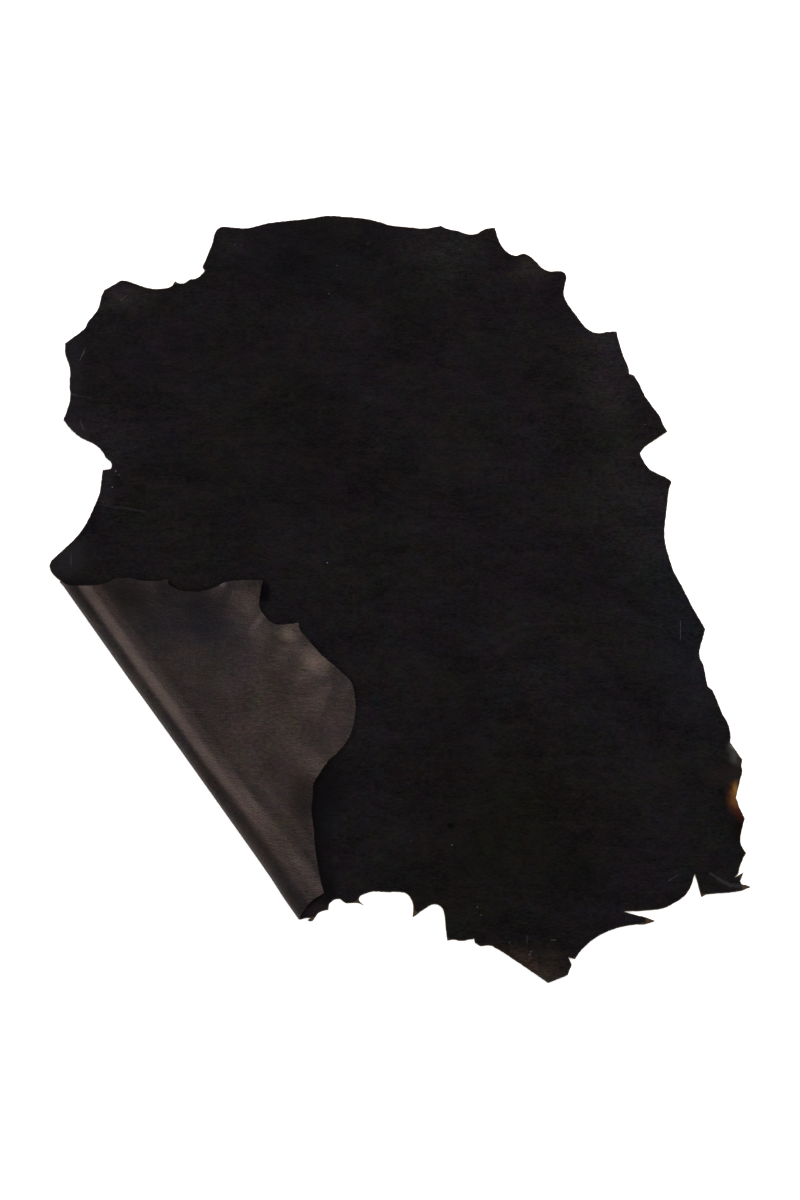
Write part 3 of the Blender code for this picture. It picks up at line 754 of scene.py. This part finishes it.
def patch(recipe, place, x, y, half_x, half_y, turn, softness, low, on_flap=False):
    """The soft-edged mask of an oval patch that is given in plan."""
    centre = (to_flat((x, y), on_flap) - low) / 1000
    # the flat cut is the plan turned by the fold's direction, and the flesh side is mirrored in it
    upright = np.degrees(np.arctan2(INWARD.x if on_flap else -INWARD.x, ALONG.x))
    turn = -turn if on_flap else turn
    node = recipe.add("ShaderNodeMapping", vector_type="TEXTURE")
    recipe.fill(node, {"Vector": place, "Location": centre.to_3d(),
                       "Rotation": (0, 0, radians(upright - turn)),
                       "Scale": (half_x / 1000, half_y / 1000, 1)})
    distance = recipe.vector("LENGTH", node.outputs[0], output=1)
    return recipe.span(distance, 1 - softness, 1 + softness, 1.0, 0.0)


def toned(recipe, place, colour, rows, grainy, low, on_flap=False):
    """The colour under soft patches of other tones, which a grainy value makes uneven; some patches are
    painted shade and painted highlights.
    """
    for x, y, half_x, half_y, turn, softness, seen, strength in rows:
        mask = patch(recipe, place, x, y, half_x, half_y, turn, softness, low, on_flap)
        share = recipe.span(grainy, *PATCH_GRAIN, strength * PATCH_LEAST, strength)
        colour = recipe.blend(recipe.math("MULTIPLY", mask, share), colour, dye(*seen))
    return colour


def tinged(recipe, place, colour, size, amount):
    """The colour with its primaries each varied a little, in blotches of the given size in metres."""
    blotches = recipe.add("ShaderNodeTexNoise", {"Vector": place, "Scale": 1 / size, "Detail": 3.0})
    scaled = recipe.vector("MULTIPLY", blotches.outputs["Color"], (amount, amount, amount))
    least = 1 - amount / 2
    return recipe.vector("MULTIPLY", colour, recipe.vector("ADD", scaled, (least, least, least)))


def suede(low):
    """The flesh side: matt near-black suede with cloudy dye, nap, rubs, scratches and the stained edge,
    with painted shadows beside the flap and painted sheen at the corner by the fold and on the stained
    edge.
    """
    recipe = Recipe("suede flesh side")
    place = recipe.cut()
    lying = recipe.turned(place, LEVEL_TURN)
    wander = recipe.add("ShaderNodeTexNoise", {"Vector": place, "Scale": 45.0, "Detail": 5.0,
                                               "Roughness": 0.6})
    drift = recipe.vector("SUBTRACT", wander.outputs["Color"], (0.5, 0.5, 0.5))
    loose = recipe.add("ShaderNodeVectorMath", {0: drift, 1: (0.018, 0.018, 0), 2: place},
                       operation="MULTIPLY_ADD").outputs[0]
    clouds = recipe.noise(recipe.turned(place, LEVEL_TURN, 1.8), 0.060, 4.0, 0.6, 0.6)
    nap = recipe.noise(recipe.turned(place, LEVEL_TURN, 2.0), 0.0026, 3.0, 0.8)
    spots = recipe.noise(recipe.turned(place, LEVEL_TURN, 2.2), 0.008, 3.0, 0.6, 0.4)
    hue = recipe.noise(lying, 0.012, 4.0, 0.7, 0.3)
    region = recipe.noise(lying, 0.16, 1.0)
    either = recipe.span(recipe.math("MULTIPLY_ADD", region, 0.7, hue), 0.66, 1.04)
    colour = recipe.blend(either, dye(21.4, 18.4, 22.9), dye(21.6, 20.2, 19.6))
    colour = toned(recipe, loose, colour, FLESH_REGIONS, nap, low)
    tone = recipe.math("MULTIPLY_ADD", nap, 1.8, clouds)
    tone = recipe.math("MULTIPLY_ADD", spots, 0.8, tone)
    depth = recipe.math("MAXIMUM", recipe.math("MULTIPLY_ADD", tone, 1.6, -1.9), 0.3)
    colour = tinged(recipe, lying, colour, 0.055, 0.4)
    colour = recipe.vector("MULTIPLY", tinged(recipe, lying, colour, 0.014, 0.75), depth)
    colour = toned(recipe, loose, colour, FLESH_PATCHES_AND_PAINTED_LIGHT, nap, low)
    group = mark_group()
    broken = recipe.span(recipe.noise(place, 0.0025, 2.0), 0.3, 0.55, 0.45, 1.0)
    dark = strokes(recipe, place, group, DARK_MARKS, low)
    colour = recipe.blend(dark, colour, dye(1, 1, 1))
    light = recipe.math("MULTIPLY", strokes(recipe, place, group, LIGHT_MARKS, low), broken)
    colour = recipe.blend(light, colour, dye(140, 136, 140))
    rim = recipe.add("ShaderNodeAttribute", attribute_name="from_rim").outputs["Fac"]
    # lighter brown within about one to two millimetres of the cut edge, broken up by the nap
    rim_lightening = recipe.span(recipe.math("MULTIPLY_ADD", nap, 1.2, rim), 0.8, 2.0, 0.45, 0.0)
    colour = recipe.blend(rim_lightening, colour, dye(98, 82, 58))
    fibres = recipe.noise(recipe.turned(place, LEVEL_TURN, 1.8), 0.0017, 2.0, 0.65)
    height = recipe.math("MULTIPLY_ADD", fibres, 0.8, nap)
    bump = recipe.add("ShaderNodeBump", {"Strength": 0.5, "Distance": 0.0006, "Height": height})
    return recipe.finish(Base_Color=colour, Roughness=0.95, Specular_IOR_Level=0.03, Sheen_Weight=0.05,
                         Sheen_Roughness=0.45, Sheen_Tint=(0.55, 0.5, 0.55, 1), Normal=bump.outputs[0])


def smooth_grain(low):
    """The grain side: dark brown-grey, lightly finished, with fine wrinkles that run across the hide,
    painted shade in their furrows, and painted highlights and shade that follow the flap's folds and roll.
    """
    recipe = Recipe("smooth grain side")
    place = recipe.cut()
    level = recipe.turned(place, -LEVEL_TURN)
    broad = recipe.noise(level, 0.075, 3.0, 0.5, 0.5)
    blotch = recipe.noise(level, 0.022, 3.0, 0.55, 0.6)
    wrinkle = recipe.noise(recipe.turned(place, -LEVEL_TURN, 3.0), 0.0021, 3.0, 0.6, 0.8)
    lines = recipe.noise(recipe.turned(place, -LEVEL_TURN, 8.0), 0.0015, 2.0, 0.55, 0.5)
    wrinkled = patch(recipe, place, -172, -128, 84, 66, 20, 0.8, low, True)
    wrinkled = recipe.math("MULTIPLY_ADD", wrinkled, 0.75, 0.25)
    drawn_out = recipe.turned(place, -LEVEL_TURN, 1.5)
    pebble = recipe.add("ShaderNodeTexVoronoi", {"Vector": drawn_out, "Scale": 620.0},
                        feature="SMOOTH_F1").outputs["Distance"]
    mottle = recipe.span(recipe.math("MULTIPLY_ADD", blotch, 0.7, broad), 0.6, 1.1)
    brown = recipe.blend(mottle, dye(30, 27, 29), dye(40, 35, 35))
    blue = recipe.blend(mottle, dye(25, 24, 28), dye(35, 32, 36))
    colour = recipe.blend(recipe.span(broad, 0.42, 0.62), brown, blue)
    colour = toned(recipe, place, colour, GRAIN_PATCHES_AND_PAINTED_LIGHT, blotch, low, True)
    speckle = recipe.noise(recipe.turned(place, -LEVEL_TURN, 1.8), 0.0027, 3.0, 0.65, 0.4)
    depth = recipe.math("MAXIMUM", recipe.math("MULTIPLY_ADD", speckle, 2.4, -0.2), 0.2)
    colour = tinged(recipe, level, colour, 0.05, 0.4)
    colour = recipe.vector("MULTIPLY", tinged(recipe, level, colour, 0.014, 0.75), depth)
    colour = recipe.blend(recipe.span(wrinkle, 0.5, 0.7, 0.0, 0.3), colour, dye(14, 12, 14))
    # painted shade in the furrows of the fine lines, where the bump also lowers the surface
    furrow_shade = recipe.math("MULTIPLY", wrinkled, recipe.span(lines, 0.47, 0.62, 0.0, 0.36))
    colour = recipe.blend(furrow_shade, colour, dye(12, 10, 12))
    rough = recipe.span(recipe.math("MULTIPLY_ADD", wrinkle, 0.5, blotch), 0.5, 1.0, 0.31, 0.41)
    height = recipe.math("MULTIPLY_ADD", pebble, 0.4, wrinkle)
    height = recipe.math("SUBTRACT", height, recipe.math("MULTIPLY", lines, wrinkled))
    bump = recipe.add("ShaderNodeBump", {"Strength": 0.5, "Distance": 0.0005, "Height": height})
    return recipe.finish(Base_Color=colour, Roughness=rough, Specular_IOR_Level=0.2,
                         Specular_Tint=(1.0, 0.81, 0.73, 1), Normal=bump.outputs[0])


def cut_fibres():
    """The cut edge: lighter brown fibres between the two faces."""
    recipe = Recipe("cut edge")
    place = recipe.cut()
    strands = recipe.noise(place, 0.0012, 3.0, 0.6)
    colour = recipe.blend(recipe.span(strands, 0.3, 0.7), dye(44, 37, 31), dye(96, 80, 60))
    bump = recipe.add("ShaderNodeBump", {"Strength": 0.6, "Distance": 0.0003, "Height": strands})
    return recipe.finish(Base_Color=colour, Roughness=0.95, Specular_IOR_Level=0.1, Normal=bump.outputs[0])


# ---------------------------------------------------------------- the piece
def leather_hide():
    """The hide in its full thickness, flesh side, grain side and cut edge each in their own finish."""
    mesh, low = sheet_mesh("leather_sheet_middle")
    for material in (suede(low), smooth_grain(low), cut_fibres()):
        mesh.materials.append(material)
    middle = bpy.data.objects.new("leather_sheet_middle", mesh)
    bpy.context.scene.collection.objects.link(middle)
    body = middle.modifiers.new("thickness", "SOLIDIFY")
    body.thickness = THICKNESS / 1000
    body.offset = 0
    body.material_offset = 1
    body.material_offset_rim = 2
    finished = bpy.data.meshes.new_from_object(middle.evaluated_get(bpy.context.evaluated_depsgraph_get()))
    bpy.data.objects.remove(middle)
    finished.name = "leather_sheet"
    finished.shade_smooth()
    finished.set_sharp_from_angle(angle=SHARP_ANGLE)
    sheet = bpy.data.objects.new("leather_sheet", finished)
    bpy.context.scene.collection.objects.link(sheet)
    return sheet


# ---------------------------------------------------------------- floor, lights and camera
def floor_sheet():
    """Plain white floor."""
    mesh = bpy.data.meshes.new("floor")
    sides = ((-1, -1), (1, -1), (1, 1), (-1, 1))
    corners = [(x * FLOOR_HALF, y * FLOOR_HALF, FLOOR_LEVEL) for x, y in sides]
    mesh.from_pydata(corners, [], [(0, 1, 2, 3)])
    recipe = Recipe("white floor")
    recipe.finish(Base_Color=(0.93, 0.93, 0.93, 1), Roughness=0.9, Specular_IOR_Level=0.1,
                  Emission_Color=(1, 1, 1, 1), Emission_Strength=0.45)
    mesh.materials.append(recipe.material)
    floor = bpy.data.objects.new("floor", mesh)
    bpy.context.scene.collection.objects.link(floor)
    return floor


def soft_box(name, place, width, watts, colour):
    """A round soft light that the camera doesn't see."""
    data = bpy.data.lights.new(name, "AREA")
    data.shape = "DISK"
    data.size = width
    data.energy = watts
    data.color = colour
    light = bpy.data.objects.new(name, data)
    light.location = place
    light.rotation_euler = (Vector(LAMPS_AIM) - Vector(place)).to_track_quat("-Z", "Y").to_euler()
    light.visible_camera = False
    bpy.context.scene.collection.objects.link(light)


def studio_walls():
    """Pale walls under a dimmer ceiling, as the world's light."""
    world = bpy.data.worlds.new("studio")
    world.use_nodes = True
    nodes, links = world.node_tree.nodes, world.node_tree.links
    direction = nodes.new("ShaderNodeTexCoord").outputs["Generated"]
    split = nodes.new("ShaderNodeSeparateXYZ")
    links.new(direction, split.inputs[0])
    fade = nodes.new("ShaderNodeMapRange")
    fade.interpolation_type = "SMOOTHSTEP"
    links.new(split.outputs["Z"], fade.inputs[0])
    for socket, value in zip(fade.inputs[1:5], (*CEILING_SPAN, WALL_LIGHT, CEILING_LIGHT)):
        socket.default_value = value
    links.new(fade.outputs[0], nodes["Background"].inputs["Strength"])
    nodes["Background"].inputs["Color"].default_value = (0.97, 0.98, 1.0, 1)
    bpy.context.scene.world = world


def main():
    hide = leather_hide()
    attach(hide, "root")
    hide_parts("hide")
    floor_sheet()
    for lamp in LAMPS:
        soft_box(*lamp)
    studio_walls()
    bpy.context.scene.view_settings.view_transform = "Standard"
    lens = bpy.data.cameras.new("camera")
    lens.lens = LENS
    camera = bpy.data.objects.new("camera", lens)
    camera.location = CAMERA_PLACE
    camera.rotation_euler = (CAMERA_TILT, 0, 0)
    bpy.context.scene.collection.objects.link(camera)
    bpy.context.scene.camera = camera


main()
